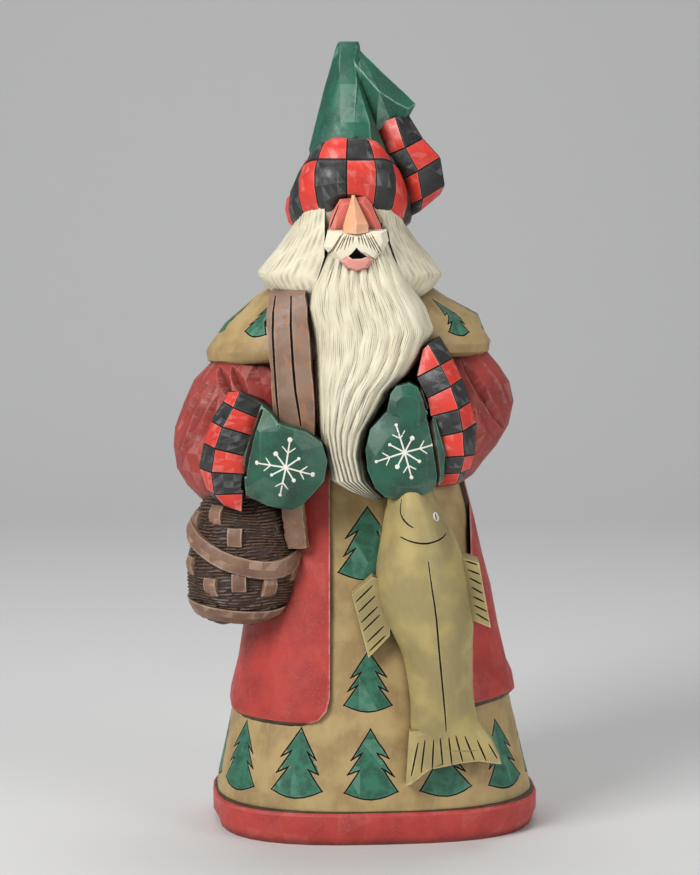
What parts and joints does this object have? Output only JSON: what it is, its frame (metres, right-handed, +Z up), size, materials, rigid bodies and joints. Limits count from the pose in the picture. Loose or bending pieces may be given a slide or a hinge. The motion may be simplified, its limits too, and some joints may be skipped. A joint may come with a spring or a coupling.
{
  "type": "carved fisherman figure",
  "caption": "Tall standing folk carving of a bearded winter fisherman in cap, cape and long coat, with a woven creel and a hanging fish.",
  "frame": {"origin": "middle of the flat underside that the figure stands on", "axes": "+Z up through the cap, -Y toward the viewer the figure faces, +X to that viewer's right"},
  "size_m": [0.1401, 0.1057, 0.3],
  "materials": {
    "painted_wood": "hand-cut basswood in thin antiqued paints, burned outlines, satin varnish"
  },
  "bodies": {
    "root": {"fisherman_carving": "painted_wood"}
  },
  "joints": []
}
